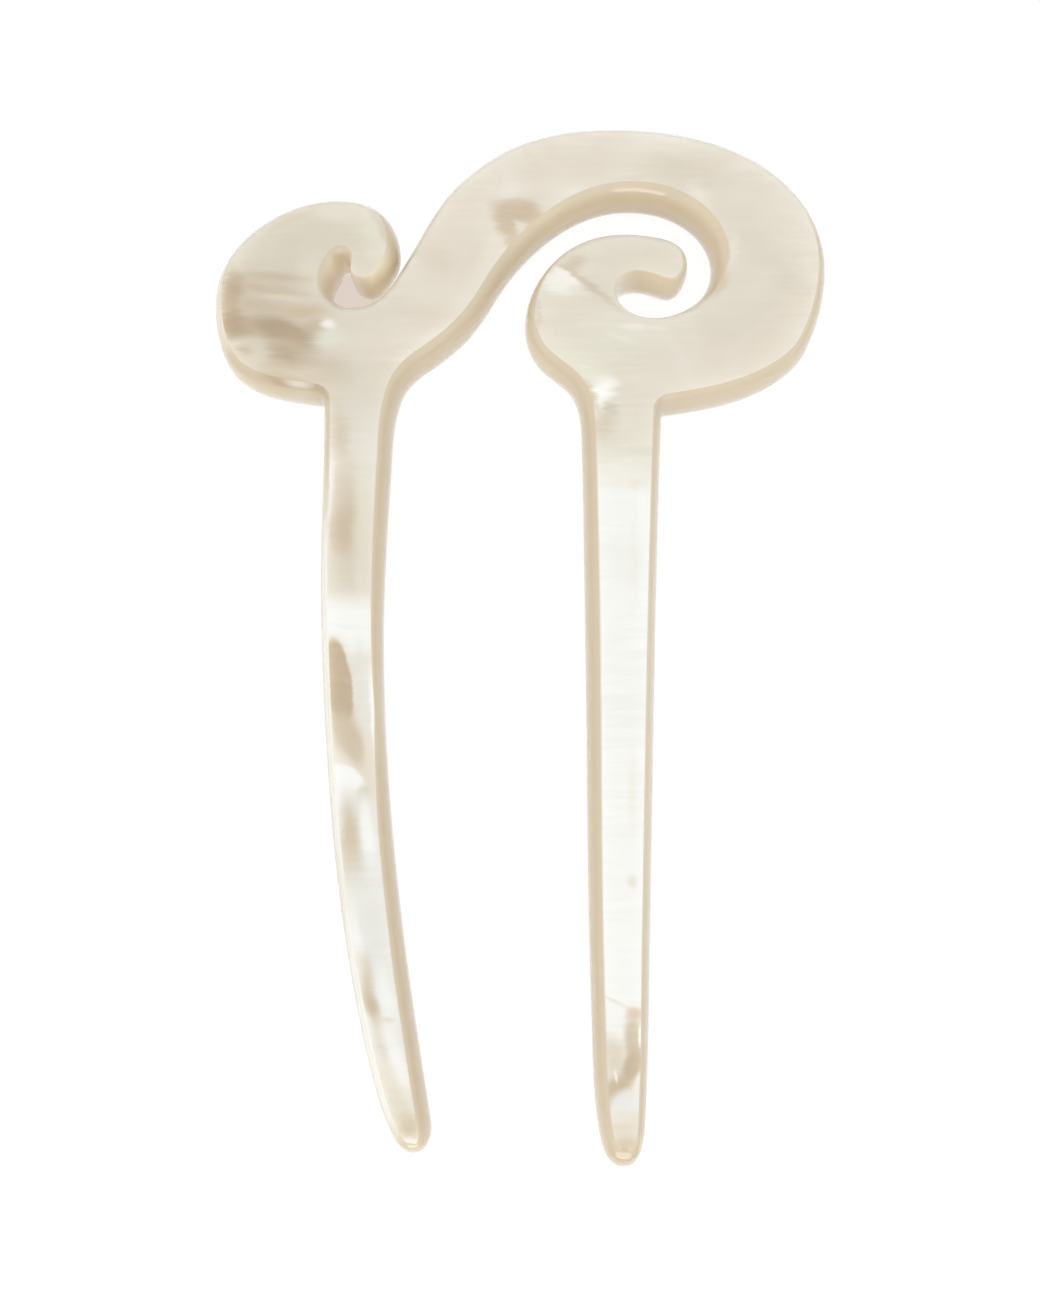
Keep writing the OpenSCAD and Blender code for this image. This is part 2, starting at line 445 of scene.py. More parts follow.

# %% [markdown]
# ## The chart
#
# Each row is one curtain, as one would dab it on with a brush: part by part, and in each part mostly
# the wide ones first. The rows were placed one by one in the photograph's pixels, and the pixels were
# then turned into mm. Columns: x and y of its centre in mm, half its length and half its width in mm,
# its turn in degrees, how soft its border is, its shade, and how strongly it covers what lies under it.

# %% The curtains of this pin
CHART = [
    # The head's left curl
    (-24, 41.5, 9.18, 8.52, 0, 0.5, "oat", 1),
    (-19.1, 28.6, 3.72, 2.84, 0, 0.9, "oat", 0.9),
    (-24.8, 47.1, 2.3, 0.55, 24, 0.8, "sand", 0.6),
    (-19.6, 47.5, 2.95, 0.77, -4, 0.8, "cream", 0.8),
    (-23.1, 40.7, 1.09, 2.62, 0, 0.7, "cream", 0.6),
    (-15.9, 44.5, 1.42, 2.73, 0, 0.7, "celadon", 0.5),
    (-16.3, 41.7, 1.31, 0.77, 0, 0.7, "oat", 0.8),
    (-14.8, 45.9, 1.97, 0.44, -62, 0.8, "fawn", 0.5),
    (-28.1, 39.1, 4.15, 1.97, 0, 0.9, "sand", 0.8),
    (-31.5, 37.7, 1.09, 3.28, 0, 0.6, "fawn", 1),
    (-31.3, 39.7, 0.98, 1.09, 0, 0.9, "umber", 0.45),
    (-26.8, 40.7, 3.06, 0.44, -2, 1, "fawn", 0.6),
    (-28.6, 39.5, 2.19, 0.38, -14, 1, "fawn", 0.6),
    (-25.4, 39.2, 1.75, 0.38, -10, 1, "fawn", 0.35),
    (-26.2, 38.4, 2.19, 0.27, -4, 1, "cream", 0.6),
    (-28.4, 37.5, 3.28, 0.55, -4, 1, "fawn", 0.55),
    (-28.4, 35.3, 4.59, 1.2, -3, 0.6, "fawn", 1),
    (-25.8, 34.8, 2.73, 1.2, -20, 0.6, "umber", 1),
    (-24.2, 34.2, 2.19, 0.87, -28, 0.7, "umber", 0.7),
    (-31.1, 35.6, 1.42, 1.2, 0, 0.8, "umber", 0.8),
    (-22.6, 35.1, 1.31, 0.98, 0, 0.7, "fawn", 0.8),
    (-23.6, 36.9, 2.62, 0.66, 3, 0.8, "amber", 0.9),
    (-25.3, 32.6, 2.73, 1.64, 0, 0.8, "fawn", 0.9),
    (-25.1, 31.9, 2.19, 0.87, -10, 1, "umber", 0.5),
    (-25.8, 30.9, 1.75, 0.55, 0, 1, "fawn", 0.6),
    (-21.1, 30.8, 2.62, 1.31, -10, 0.9, "sand", 0.7),
    (-29.3, 32.6, 2.08, 1.64, -8, 0.4, "oat", 1),
    (-25.1, 29.9, 3.72, 0.87, -14, 0.8, "sand", 0.6),
    (-25.4, 28.9, 4.59, 0.77, -15, 0.7, "fawn", 0.9),
    (-31.5, 32.1, 1.31, 0.44, -55, 0.8, "sand", 0.6),
    (-29.9, 32.9, 0.87, 0.55, 0, 0.8, "fawn", 0.6),
    (-20.9, 34.1, 1.53, 0.87, 0, 0.8, "celadon", 0.9),
    (-20.9, 35.5, 0.71, 0.44, -10, 0.8, "shell", 1),
    # The arm between the curls
    (-0.6, 48.1, 2.51, 1.09, -3, 0.4, "amber", 0.75),
    (-1.5, 46.9, 1.42, 1.64, -25, 0.4, "amber", 0.85),
    (-1.3, 47.8, 1.53, 0.77, 20, 0.8, "sand", 0.3),
    (1.4, 47.1, 1.75, 1.09, -35, 0.6, "amber", 0.8),
    (-0.2, 46.3, 0.87, 0.44, -40, 0.5, "cream", 1),
    (-0.7, 44.8, 1.09, 0.87, -40, 0.6, "amber", 0.8),
    # Pale along the face's edge beside the arch's inner wall, these two rows: painted glow
    (-9.3, 33.9, 2.62, 0.55, 38, 1, "milk", 0.5),
    (-12.2, 31.9, 1.64, 0.77, 35, 1, "milk", 0.5),
    # The arch
    (18.6, 43.5, 12.02, 9.84, 0, 0.6, "oat", 0.5),
    (16.4, 52.7, 2.84, 1.2, -10, 1, "oat", 0.5),
    # Pale along the face's edge beside the inner wall, these two rows: painted glow
    (19.9, 49.4, 1.64, 0.77, -45, 1, "milk", 0.6),
    (23.6, 44, 1.53, 0.55, 90, 1, "milk", 0.5),
    (21.8, 39.8, 1.64, 0.66, 63, 0.7, "amber", 0.75),
    # Pale along the face's edge beside the inner wall: painted glow
    (5.7, 49.9, 1.53, 0.66, 25, 1, "milk", 0.5),
    (27.4, 32.2, 2.62, 0.98, 30, 1, "cream", 0.8),
    # The right curl
    (5.6, 42.2, 1.53, 0.98, 35, 0.8, "sand", 0.8),
    (8.1, 39.3, 3.72, 0.33, -37, 0.8, "sand", 0.8),
    (1.9, 36.7, 0.33, 2.84, 0, 0.8, "sand", 0.6),
    (4.3, 40, 1.64, 1.09, -32, 0.7, "ivory", 0.9),
    (5, 40.8, 1.64, 0.44, -40, 0.5, "shell", 1),
    (6.4, 39.2, 1.09, 0.44, -30, 0.8, "milk", 0.8),
    (12.1, 35.2, 1.42, 0.33, -4, 0.7, "shell", 0.9),
    (14.8, 35, 1.31, 0.27, -4, 0.8, "milk", 0.7),
    (10.8, 34, 1.97, 0.27, -22, 0.7, "milk", 0.8),
    (9.7, 35.6, 3.28, 1.31, -10, 0.9, "milk", 0.3),
    (6.1, 32.5, 1.75, 0.27, 0, 0.9, "celadon", 0.8),
    (6.8, 31.1, 0.87, 0.22, 0, 0.8, "ivory", 0.7),
    (8.6, 29.8, 1.97, 0.98, -40, 1, "milk", 0.8),
    (9.2, 28.3, 1.09, 1.53, -30, 0.8, "snow", 1),
    (8.6, 26.6, 0.77, 1.42, 12, 0.7, "snow", 0.9),
    (7.8, 27.9, 2.62, 0.6, -58, 0.8, "amber", 0.85),
    (10.2, 26.3, 0.71, 0.6, -30, 0.7, "ash", 0.8),
    # The right prong, from the curl to the tip
    (9.3, 24.5, 1.31, 1.2, 35, 0.8, "sand", 1),
    (11.3, 20.3, 2.62, 2.19, 0, 0.8, "milk", 0.6),
    (11.5, 22.7, 4.81, 4.37, 0, 0.8, "celadon", 0.4),
    (11, -10.3, 12.02, 30.16, 0, 0.1, "frost", 1),
    (8.8, 33.1, 6.56, 3.06, 10, 0.9, "celadon", 0.5),
    (11.3, 18.4, 2.62, 0.87, 0, 0.9, "milk", 0.35),
    (13.2, 18.1, 0.87, 0.55, 10, 0.8, "cream", 0.4),
    (13.6, 16.2, 0.44, 1.75, 0, 0.8, "snow", 0.3),
    (11.2, 9.6, 3.06, 2.19, 0, 0.8, "mist", 0.25),
    (12.6, 9.6, 0.44, 4.37, 0, 1, "celadon", 0.25),
    (12.4, -15.5, 0.44, 3.83, 0, 1, "celadon", 0.35),
    (11.2, -5.7, 2.84, 6.56, 0, 0.9, "mist", 0.15),
    (12.4, -25.2, 0.49, 0.66, 0, 0.8, "celadon", 0.9),
    (10.8, -38.5, 1.53, 0.17, -25, 0.8, "cream", 0.9),
    (10.7, -40.9, 1.42, 2.19, -8, 0.6, "frost", 0.8),
    (12.3, -43.1, 0.82, 2.95, 4, 0.5, "sand", 1),
    (12.4, -45.6, 1.09, 1.97, -25, 0.45, "fawn", 1),
    (10.7, -48.2, 1.31, 1.42, -38, 0.45, "fawn", 0.9),
    (10, -49.2, 0.98, 0.87, 0, 0.8, "fawn", 0.8),
    (11.4, -48.9, 0.87, 0.66, 0, 0.8, "sand", 0.8),
    (10.1, -44.5, 0.98, 1.97, 10, 0.8, "oat", 0.9),
    (10.5, -46.8, 0.15, 0.66, 12, 0.7, "ivory", 0.8),
    # A thin pale line along the face's right edge: painted highlight
    (13.3, -42, 0.39, 1.64, -2, 0.4, "snow", 1),
    (12.6, -39.7, 0.77, 0.66, 0, 0.7, "rose", 1),
    (12.1, -49.6, 1.97, 1.42, 15, 0.4, "mist", 1),
    (13, -47.7, 0.49, 1.31, -12, 0.5, "milk", 1),
    (11.5, -50.7, 1.75, 0.33, 0, 0.8, "cream", 0.6),
    (11.5, -52.2, 1.97, 0.44, 0, 0.8, "oat", 0.6),
    (11.5, -54.8, 2.4, 1.53, 0, 0.6, "sand", 1),
    # The left prong, from the curl to the tip
    (-18.5, 24.9, 2.4, 1.75, 0, 0.9, "oat", 0.9),
    (-17.4, 23, 1.97, 4.81, 0, 0.9, "mist", 0.45),
    (-19.6, 23.6, 0.77, 2.4, 0, 0.9, "sand", 0.7),
    # A pale line along the face's left edge: painted highlight
    (-20.6, 19, 0.33, 1.53, 0, 0.9, "ivory", 0.6),
    (-18.5, 13.6, 1.75, 5.03, 3, 0.8, "sand", 0.85),
    # A pale line along the face's left edge: painted highlight
    (-20.8, 15.1, 0.22, 5.46, 0, 1, "ivory", 0.5),
    (-19.3, 12.7, 0.98, 2.19, 0, 0.9, "fawn", 0.6),
    (-17.2, 15.6, 0.77, 5.46, 0, 0.9, "celadon", 0.7),
    (-18.9, 8.3, 2.4, 1.86, 0, 0.9, "oat", 0.7),
    (-17.2, 7.7, 0.55, 2.4, 0, 0.9, "mist", 0.3),
    (-18.6, 3.3, 4.81, 2.3, 0, 0.75, "frost", 1),
    (-17.2, 1.3, 1.75, 2.19, 0, 0.7, "frost", 0.9),
    (-17.1, -4.2, 0.98, 4.37, 0, 0.6, "mist", 1),
    (-17.2, -4.6, 0.55, 3.72, 0, 0.9, "cream", 0.4),
    (-15.9, -6.1, 0.44, 3.93, 0, 0.6, "snow", 0.8),
    (-19.7, -3.4, 1.48, 4.59, 8, 0.14, "fawn", 1),
    (-19.6, -5.7, 1.2, 3.06, -4, 0.3, "fawn", 0.7),
    (-19.6, -4.8, 0.77, 2.19, 6, 0.8, "umber", 0.2),
    (-19.1, -9.3, 1.53, 2.4, 20, 0.5, "sand", 0.9),
    (-18.5, -10.3, 0.93, 2.19, 24, 0.5, "sand", 0.9),
    (-19, -14, 2.13, 1.2, -18, 0.25, "frost", 1),
    (-19.7, -14.8, 1.31, 0.87, 0, 0.7, "frost", 0.9),
    (-19.2, -16.6, 2.19, 1.09, 0, 0.6, "frost", 0.8),
    (-17.4, -16.8, 0.98, 0.87, 0, 0.8, "oat", 0.8),
    (-17, -16, 0.55, 1.2, 0, 0.7, "olive", 1),
    (-17.2, -22.1, 3.28, 6.56, 8, 0.3, "mist", 1),
    (-18.3, -20.8, 0.98, 3.93, 8, 0.7, "sand", 0.95),
    (-18.1, -24.9, 0.98, 3.5, 10, 0.8, "sand", 1),
    (-16.4, -20.3, 0.66, 3.72, 8, 0.6, "frost", 0.9),
    (-15.2, -34.6, 4.81, 10.93, 12, 0.3, "mist", 1),
    (-17.4, -32.8, 0.44, 3.5, 10, 0.8, "frost", 0.9),
    (-16.4, -36.5, 0.66, 3.06, 14, 0.9, "sand", 0.8),
    (-15.9, -38.9, 0.71, 1.64, 20, 0.8, "fawn", 0.9),
    (-15, -42.8, 0.66, 2.84, 16, 1, "sand", 0.6),
    (-14.3, -37.8, 0.66, 2.62, 12, 0.8, "frost", 0.7),
    (-14.4, -40.4, 0.77, 0.33, 0, 0.7, "oat", 0.8),
    (-13.6, -44.6, 0.98, 3.72, 16, 0.8, "frost", 0.8),
    (-13.1, -50.2, 1.2, 1.64, 20, 0.9, "oat", 0.5),
    (-12, -52.2, 1.31, 1.42, 25, 0.8, "sand", 0.9),
    (-11.7, -52.8, 0.87, 0.87, 0, 0.9, "fawn", 0.35),
    # Pale at the tip's end: partly pearl, partly a painted highlight on the nose
    (-11.7, -54.4, 0.77, 0.55, 0, 0.8, "milk", 0.9),
]
print(f"{len(CHART)} curtains")

# %% [markdown]
# ## The ground of the sheet
#
# Between the charted curtains the pearl is never flat. Large clouds drift through it, about as wide as
# a finger. They are noise on Object coordinates, turned into millimetres, so that each scale below
# reads as features per millimetre. The charted curtains reach through the sheet and fade towards its
# back face, so the clouds are held back at the front, and alone remain at the back.

# %% Clouds in the ground
CLOUDS_PER_MM = (0.08, 0.11, 0.16)
CLOUD_SHADES = [(0.30, "sand"), (0.42, "cream"), (0.55, "milk"), (0.70, "snow")]
CLOUDS_AT_FRONT = 0.22  # share of the clouds that shows on the front face
CLOUDS_FADE_MM = (0.6, 4.2)  # heights above the back face between which they are held back

acetate = bpy.data.materials.new("pearl_acetate")
acetate.use_nodes = True
tree = acetate.node_tree
tree.nodes.clear()

place = add_node(tree, "ShaderNodeTexCoord")
in_mm = add_node(tree, "ShaderNodeMapping", {
    "Vector": place.outputs["Object"], "Scale": (1 / MM, 1 / MM, 1 / MM),
}).outputs[0]
along = add_node(tree, "ShaderNodeSeparateXYZ", {0: in_mm}).outputs
cloud_place = add_node(tree, "ShaderNodeMapping", {"Vector": in_mm, "Scale": CLOUDS_PER_MM})
cloud = add_node(tree, "ShaderNodeTexNoise", {
    "Vector": cloud_place.outputs[0], "Scale": 1, "Detail": 2, "Distortion": 1.2,
})
ground = add_node(tree, "ShaderNodeValToRGB", {"Fac": cloud.outputs["Fac"]})
ramp = ground.color_ramp
for stop, shade in CLOUD_SHADES:
    ramp.elements.new(stop).color = srgb(SHADES[shade])
ramp.elements.remove(ramp.elements[0])
ramp.elements.remove(ramp.elements[-1])
cloud_share = add_node(tree, "ShaderNodeMapRange", {
    "Value": along["Z"], "From Min": CLOUDS_FADE_MM[0], "From Max": CLOUDS_FADE_MM[1],
    "To Min": 1, "To Max": CLOUDS_AT_FRONT,
}, interpolation_type="SMOOTHSTEP")
pearl = add_node(tree, "ShaderNodeMix", {
    FACTOR: cloud_share.outputs[0], FIRST: srgb(SHADES["cream"]), SECOND: ground.outputs["Color"],
}, data_type="RGBA").outputs[MIXED]
print(f"clouds run through {len(CLOUD_SHADES)} shades, from {CLOUD_SHADES[0][1]} to {CLOUD_SHADES[-1][1]}")

# %% [markdown]
# ## Borders that wander and fray
#
# No curtain has the clean border of an ellipse. The dough flowed, so each place is looked up a few
# tenths of a millimetre off, by a slow noise. It was also drawn along X, hardest in the head, and there
# a border that runs up the pin ends in fine wisps, nearly three to the millimetre. A second noise, long
# in X and quick in Y, shifts the place sideways for that. Then the chart's rows are laid one over
# another.

# %% Lay the charted curtains
NOISE_MIDDLE = 0.5
WANDER_PER_MM = 0.16
WANDER_MM = (1.6, 1.2, 0)  # shift for the noise's full swing, which it seldom reaches
WISPS_PER_MM = (0.12, 2.6, 0.5)
WISP_IN_PRONGS = 0.35  # mm, also for the full swing
WISP_IN_HEAD = 1.7
PRONGS_END, HEAD_STARTS = 12, 28  # mm along Y

drift = add_node(tree, "ShaderNodeTexNoise", {"Vector": in_mm, "Scale": WANDER_PER_MM, "Detail": 1})
centred = add_node(tree, "ShaderNodeVectorMath", {
    0: drift.outputs["Color"], 1: (NOISE_MIDDLE, NOISE_MIDDLE, NOISE_MIDDLE),
}, operation="SUBTRACT")
wandered = add_node(tree, "ShaderNodeVectorMath", {
    0: centred.outputs[0], 1: WANDER_MM, 2: in_mm,
}, operation="MULTIPLY_ADD").outputs[0]
wisp_place = add_node(tree, "ShaderNodeMapping", {"Vector": in_mm, "Scale": WISPS_PER_MM})
wisp = add_node(tree, "ShaderNodeTexNoise", {"Vector": wisp_place.outputs[0], "Scale": 1, "Detail": 3})
wisp_mm = add_node(tree, "ShaderNodeMapRange", {
    "Value": along["Y"], "From Min": PRONGS_END, "From Max": HEAD_STARTS,
    "To Min": WISP_IN_PRONGS, "To Max": WISP_IN_HEAD,
}, interpolation_type="SMOOTHSTEP")
wisp_swing = add_node(tree, "ShaderNodeMath", {
    0: wisp.outputs["Fac"], 1: NOISE_MIDDLE,
}, operation="SUBTRACT")
sideways = add_node(tree, "ShaderNodeMath", {
    0: wisp_swing.outputs[0], 1: wisp_mm.outputs[0],
}, operation="MULTIPLY")
shift = add_node(tree, "ShaderNodeCombineXYZ", {"X": sideways.outputs[0]})
frayed = add_node(tree, "ShaderNodeVectorMath", {0: wandered, 1: shift.outputs[0]}, operation="ADD")
for x, y, half_long, half_wide, turn, soft, shade, strength in CHART:
    pearl = add_node(tree, "ShaderNodeGroup", {
        "Position": frayed.outputs[0], "Under": pearl, "Shade": srgb(SHADES[shade]),
        "Centre": (x, y, thickness), "Turn": (0, 0, math.radians(turn)),
        "Half size": (half_long, half_wide, CURTAIN_DEPTH),
        "Outside": 1 + soft, "Inside": 1 - soft, "Strength": strength,
    }, node_tree=curtain).outputs[0]
print(f"{len(tree.nodes)} nodes so far")

# %% [markdown]
# ## Fine drawn-out lines
#
# The platelets also leave lines behind where the sheet was drawn, 0.6 mm apart and ten times as long,
# like the grain of a shell. A line lifts or dims the pearl by a few hundredths, and the lines come and
# go in patches the width of a curl, so their depth is a second, slower noise.

# %% Draw the lines through the pearl
LINES_PER_MM = (0.16, 1.7, 0.5)
PATCHES_PER_MM = 0.13
PATCH_RANGE = (0.4, 0.65)  # the slow noise's values where the lines are faintest and deepest
LINE_DEPTH = (0.04, 0.17)

line_place = add_node(tree, "ShaderNodeMapping", {"Vector": wandered, "Scale": LINES_PER_MM})
lines = add_node(tree, "ShaderNodeTexNoise", {"Vector": line_place.outputs[0], "Scale": 1, "Detail": 3})
patches = add_node(tree, "ShaderNodeTexNoise", {"Vector": in_mm, "Scale": PATCHES_PER_MM, "Detail": 1})
line_depth = add_node(tree, "ShaderNodeMapRange", {
    "Value": patches.outputs["Fac"], "From Min": PATCH_RANGE[0], "From Max": PATCH_RANGE[1],
    "To Min": LINE_DEPTH[0], "To Max": LINE_DEPTH[1],
})
line_swing = add_node(tree, "ShaderNodeMath", {
    0: lines.outputs["Fac"], 1: NOISE_MIDDLE,
}, operation="SUBTRACT")
line_tone = add_node(tree, "ShaderNodeMath", {
    0: line_swing.outputs[0], 1: line_depth.outputs[0], 2: 1,
}, operation="MULTIPLY_ADD")
lined = add_node(tree, "ShaderNodeVectorMath", {
    0: pearl, "Scale": line_tone.outputs[0],
}, operation="SCALE").outputs[0]
print(f"lines {1 / LINES_PER_MM[1]:.1f} mm apart and {1 / LINES_PER_MM[0]:.0f} mm long")

# %% [markdown]
# ## The tan of the cut rim
#
# The saw cuts across the platelets, and at the rim one looks between them into brown plastic. So the
# tan sets in where the surface turns out of the sheet's plane: the normal's Z is 1 on the faces and
# falls off over the round. A side that looks up the pin stays pale for longer, a painted sheen, so half
# of the normal's Y is added to it.
#
# Over the tan the rim has a short chart of its own, of painted light and shade. It is paler in the
# slots and on the arch's inner side, painted light that stands in for what comes through from both
# sides, and paler on the prongs' outer sides, a painted reflection, most of all on the left one, with a
# painted highlight along the crown of the left prong's and the left curl's outer sides. Its lower half
# is darker on the head, painted shade, and paler on the prongs, painted reflection of the table. Below
# the left curl the band next to the face is browner, its own tone and in part painted shade over the
# lamps' glint, and the wall under that band is paler. The tips are browner, painted shade where the
# lamps light them too brightly. Here the rows have a depth too: their columns are x, y and z of the
# centre, half length, half width and half depth in mm, turn, softness, shade and strength.

# %% Colour the rim
RIM_TAN = "#c2b49d"
PAINTED_SHEEN_UP_THE_PIN = 0.5
TAN_STARTS, TAN_FULL = 1.0, 0.955  # the normal's Z, with its share of Y
TAN_COVERS = 0.97
RIM_PAINTED_LIGHT_AND_SHADE = [
    # The lower half of the rim: painted shade on the head, painted reflection of the table on the prongs
    (0, 50, 0, 60, 26, 2.2, 0, 0.4, "umber", 0.6),
    (0, -20, 0, 40, 46, 2.6, 0, 0.4, "shell", 0.45),
    # The slots and the arch's inner side, paler: painted light for what comes through from both sides
    (-19.5, 40.6, 2.4, 2.4, 3.2, 5, 0, 0.3, "buff", 0.6),
    (-19.5, 41.6, 0.8, 2.6, 4.4, 2.4, 0, 0.5, "shell", 0.85),
    (-14.8, 40.5, 2.4, 2.0, 3.8, 5, 20, 0.4, "buff", 0.9),
    (15, 39.5, 2.4, 5.2, 2.0, 5, 0, 0.3, "buff", 0.4),
    (11.7, 39.7, 2.4, 1.6, 1.6, 5, 0, 0.5, "ivory", 0.6),
    (11.5, 44.5, 5.5, 12.5, 6.2, 4, 0, 0.25, "buff", 0.35),
    # Below the left curl: a browner band by the face, partly painted shade over the lamps' glint, and a
    # paler wall below it
    (-27.5, 30.2, 4.8, 6, 1.5, 1.6, -20, 0.4, "umber", 0.3),
    (-27, 29.2, 1.4, 7, 3.4, 2.4, -16, 0.4, "sand", 0.4),
    (-24.4, 29.1, 4.8, 3.8, 1.8, 0.45, -8, 0.4, "umber", 0.95),
    # The prongs' outer sides, paler: painted reflection, and painted highlights along the crowns of the left
    # prong and the left curl
    (15.6, -12, 2.4, 1.8, 42, 6, -1, 0.3, "oat", 0.55),
    (-22, -2, 2.4, 2.6, 32, 6, 4, 0.3, "oat", 0.55),
    (-17.5, -40, 2.4, 2.6, 15, 6, 13, 0.3, "oat", 0.55),
    (-34, 38, 4.8, 2.5, 9, 0.55, 0, 0.4, "cream", 0.9),
    (-22, -2, 4.8, 2.6, 32, 0.55, 4, 0.3, "ivory", 0.8),
    (-17.5, -40, 4.8, 2.6, 15, 0.55, 13, 0.3, "ivory", 0.8),
    # The two tips, browner: painted shade where the lamps light them too brightly
    (11.6, -56.8, 4.2, 3, 2.4, 2.2, 0, 0.4, "umber", 0.45),
    (-11.4, -55.2, 4.2, 3.4, 2, 2.2, 0, 0.4, "fawn", 0.5),
]
# rim starts as the cut's tan, and the chart lays its painted light and shade over it.
rim = srgb(RIM_TAN)
for x, y, z, half_long, half_wide, half_deep, turn, soft, shade, strength in RIM_PAINTED_LIGHT_AND_SHADE:
    rim = add_node(tree, "ShaderNodeGroup", {
        "Position": in_mm, "Under": rim, "Shade": srgb(SHADES[shade]),
        "Centre": (x, y, z), "Turn": (0, 0, math.radians(turn)),
        "Half size": (half_long, half_wide, half_deep),
        "Outside": 1 + soft, "Inside": 1 - soft, "Strength": strength,
    }, node_tree=curtain).outputs[0]
facing = add_node(tree, "ShaderNodeSeparateXYZ", {0: place.outputs["Normal"]}).outputs
level = add_node(tree, "ShaderNodeMath", {0: facing["Z"]}, operation="ABSOLUTE")
# Half the normal's Y on top of its level paints a sheen on sides that look up the pin.
level_with_painted_sheen = add_node(tree, "ShaderNodeMath", {
    0: facing["Y"], 1: PAINTED_SHEEN_UP_THE_PIN, 2: level.outputs[0],
}, operation="MULTIPLY_ADD")
cut = add_node(tree, "ShaderNodeMapRange", {
    "Value": level_with_painted_sheen.outputs[0], "From Min": TAN_STARTS, "From Max": TAN_FULL,
    "To Min": 0, "To Max": TAN_COVERS,
}, interpolation_type="SMOOTHSTEP")
body_colour = add_node(tree, "ShaderNodeMix", {
    FACTOR: cut.outputs[0], FIRST: lined, SECOND: rim,
}, data_type="RGBA").outputs[MIXED]
print(f"the rim's chart has {len(RIM_PAINTED_LIGHT_AND_SHADE)} rows")

# %% [markdown]
# ## The gloss
#
# Acetate hands light on inside, so a wall turned away from the lamps still glows with what came in
# through the face, and slots don't go dark. Light that wanders 7 mm, a little less in blue, does
# that. The tumbled skin is a clear coat of the plastic's own index over a broad, weak shine, and waves
# of a hundredth of a millimetre, 3 mm long, bend the reflections as tumbling does.

# %% Give the acetate its depth and its skin
ACETATE_INDEX = 1.48
LIGHT_WANDERS = 7 * MM
COLOURS_WANDER = (1.0, 0.95, 0.9)  # shares of that length for red, green and blue
WAVES_PER_MM = 0.35
WAVE_HEIGHT = 0.01 * MM

wave = add_node(tree, "ShaderNodeTexNoise", {"Vector": in_mm, "Scale": WAVES_PER_MM, "Detail": 1})
skin = add_node(tree, "ShaderNodeBump", {
    "Height": wave.outputs["Fac"], "Strength": 1, "Distance": WAVE_HEIGHT,
})
gloss = add_node(tree, "ShaderNodeBsdfPrincipled", {
    "Base Color": body_colour,
    "Roughness": 0.38, "IOR": ACETATE_INDEX, "Specular IOR Level": 0.25,
    "Subsurface Weight": 1, "Subsurface Radius": COLOURS_WANDER, "Subsurface Scale": LIGHT_WANDERS,
    "Coat Weight": 1, "Coat Roughness": 0.04, "Coat IOR": ACETATE_INDEX,
    "Normal": skin.outputs[0], "Coat Normal": skin.outputs[0],
})
add_node(tree, "ShaderNodeOutputMaterial", {"Surface": gloss.outputs[0]})
pin_mesh.materials.append(acetate)
print(f"{len(tree.nodes)} nodes in all")

# %% [markdown]
# ## The light
#
# The pin lies in a white room. A dome that is bright overhead and dim towards the horizon keeps the
# faces light and lets the walls go tan. One broad softbox, the key, models the rounds from the lower
# left. A smaller one, the sparkle, draws the glint inside the arch. Each does one job. The key isn't
# seen in the gloss, where it would put a pale streak on every wall that faces it, and the sparkle
# gives no diffuse light, which would burn those walls out.

# %% A dome and two softboxes
DOME_LOW, DOME_HIGH = 0.33, 1.15
HORIZON, OVERHEAD = 0.1, 0.6  # sine of the elevation at which the dome is dim, and bright
DOME_TINT = "#fdffff"
LAMP_DISTANCE = 1.0

world = bpy.data.worlds.new("studio")
bpy.context.scene.world = world
world.use_nodes = True
sky = world.node_tree
sky.nodes.clear()
looking = add_node(sky, "ShaderNodeTexCoord")
up = add_node(sky, "ShaderNodeSeparateXYZ", {0: looking.outputs["Generated"]})
dome = add_node(sky, "ShaderNodeMapRange", {
    "Value": up.outputs["Z"], "From Min": HORIZON, "From Max": OVERHEAD,
    "To Min": DOME_LOW, "To Max": DOME_HIGH,
}, interpolation_type="SMOOTHSTEP")
glow = add_node(sky, "ShaderNodeBackground", {"Color": srgb(DOME_TINT), "Strength": dome.outputs[0]})
add_node(sky, "ShaderNodeOutputWorld", {"Surface": glow.outputs[0]})


def softbox(name, azimuth, elevation, wide, tall, radiance):
    """A rectangular lamp one metre off that faces the pin, at an azimuth counted from -Y.

    Its power is the wanted radiance times pi times its area, as every lamp of one radiance looks
    equally bright from the pin, whatever its size.
    """
    data = bpy.data.lights.new(name, "AREA")
    data.shape = "RECTANGLE"
    data.size = wide
    data.size_y = tall
    data.energy = radiance * math.pi * wide * tall
    lamp = bpy.data.objects.new(name, data)
    turn, rise = math.radians(azimuth), math.radians(elevation)
    aim = np.array([math.sin(turn) * math.cos(rise), -math.cos(turn) * math.cos(rise), math.sin(rise)])
    lamp.location = (LAMP_DISTANCE * aim).tolist()
    lamp.rotation_euler = (math.pi / 2 - rise, 0, turn)
    bpy.context.scene.collection.objects.link(lamp)
    return lamp


key = softbox("key", azimuth=-17, elevation=35, wide=1.1, tall=0.85, radiance=1.1)
sparkle = softbox("sparkle", azimuth=0, elevation=31, wide=0.6, tall=0.5, radiance=3.2)
key.visible_glossy = False
sparkle.visible_diffuse = False
print(f"the key gives {key.data.energy:.1f} W and the sparkle {sparkle.data.energy:.1f} W")

# %% [markdown]
# ## The table
#
# A sheet of opal acrylic, lit from below, is white all round the pin and throws hardly any of the
# lamps' light back. Under the left curl's slot the glow is weaker and pale tan in a spot a few
# millimetres wide: a painted shade, tinted by the tan walls, where the pin would shade the sheet.

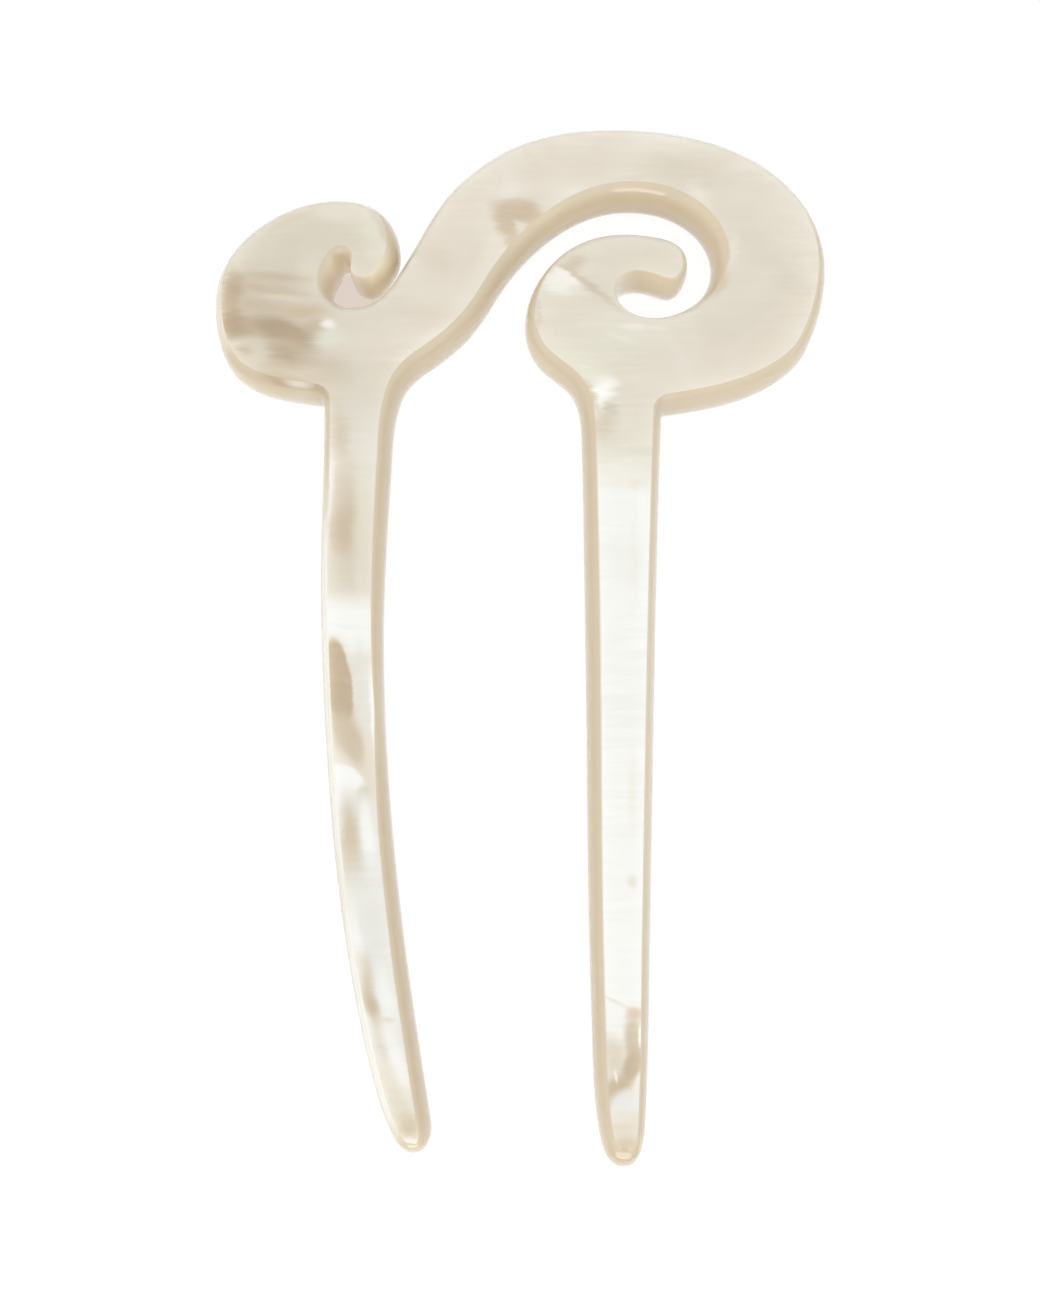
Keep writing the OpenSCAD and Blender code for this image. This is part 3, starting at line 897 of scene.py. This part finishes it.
# %% The lit table
TABLE_HALF = 1.5
GAP = 0.02 * MM  # keeps the table's top and the pin's back face from sharing a plane
SLOT = (-19.4 * MM, 40.6 * MM, 0)
SPOT_CORE, SPOT_RIM = 2.5 * MM, 5 * MM  # from the slot's middle, where the dim spot starts to fade, and ends
GLOW = "#ffffff"
# The painted shade's pale tan in the spot under the slot
PAINTED_SHADE_IN_SPOT = "#ded0c4"
OPAL_GREY = "#595959"
TABLE_GLOW = 0.92

corners = [(x * TABLE_HALF, y * TABLE_HALF, -GAP) for x, y in [(-1, -1), (1, -1), (1, 1), (-1, 1)]]
table_mesh = bpy.data.meshes.new("table")
table_mesh.from_pydata(corners, [], [(0, 1, 2, 3)])
table = bpy.data.objects.new("table", table_mesh)
bpy.context.scene.collection.objects.link(table)
opal = bpy.data.materials.new("opal_acrylic")
opal.use_nodes = True
board = opal.node_tree
board.nodes.clear()
on_table = add_node(board, "ShaderNodeTexCoord")
from_slot = add_node(board, "ShaderNodeVectorMath", {
    0: on_table.outputs["Object"], 1: SLOT,
}, operation="DISTANCE")
beyond = add_node(board, "ShaderNodeMapRange", {
    "Value": from_slot.outputs["Value"], "From Min": SPOT_CORE, "From Max": SPOT_RIM,
}, interpolation_type="SMOOTHSTEP")
table_light = add_node(board, "ShaderNodeMix", {
    FACTOR: beyond.outputs[0], FIRST: srgb(PAINTED_SHADE_IN_SPOT), SECOND: srgb(GLOW),
}, data_type="RGBA").outputs[MIXED]
acrylic = add_node(board, "ShaderNodeBsdfPrincipled", {
    "Base Color": srgb(OPAL_GREY), "Roughness": 0.9,
    "Emission Color": table_light, "Emission Strength": TABLE_GLOW,
})
add_node(board, "ShaderNodeOutputMaterial", {"Surface": acrylic.outputs[0]})
table_mesh.materials.append(opal)
print(f"the table is {2 * TABLE_HALF:.0f} m wide and glows at {TABLE_GLOW}")

# %% [markdown]
# ## The camera
#
# The pin is looked at from close by, 10 cm above its face, and that is why the walls round the head
# seem to lean outwards. The camera looks straight down. The frame is shifted, and the camera isn't
# turned, so that the face keeps its true shape.

# %% Place the camera
PICTURE_H = 1300  # pixels, as FOCAL_PX and SHIFT_PX
FOCAL_PX = 915
SENSOR = 36  # mm along the picture's longer side
CAMERA_ABOVE_FACE = 100
BELOW_CAMERA = (2.857, -16.066)  # mm, the place on the face straight under the camera
SHIFT_PX = (-26, 145)  # from that place to the picture's middle, x to the right and y up

camera_data = bpy.data.cameras.new("camera")
camera_data.sensor_width = SENSOR
camera_data.lens = SENSOR * FOCAL_PX / PICTURE_H
camera_data.shift_x = SHIFT_PX[0] / PICTURE_H
camera_data.shift_y = SHIFT_PX[1] / PICTURE_H
camera_data.clip_start = 5 * MM
camera = bpy.data.objects.new("camera", camera_data)
camera.location = (BELOW_CAMERA[0] * MM, BELOW_CAMERA[1] * MM, (thickness + CAMERA_ABOVE_FACE) * MM)
bpy.context.scene.collection.objects.link(camera)
bpy.context.scene.camera = camera
bpy.context.scene.view_settings.view_transform = "Standard"
print(f"one millimetre on the face is {FOCAL_PX / CAMERA_ABOVE_FACE:.2f} pixels")
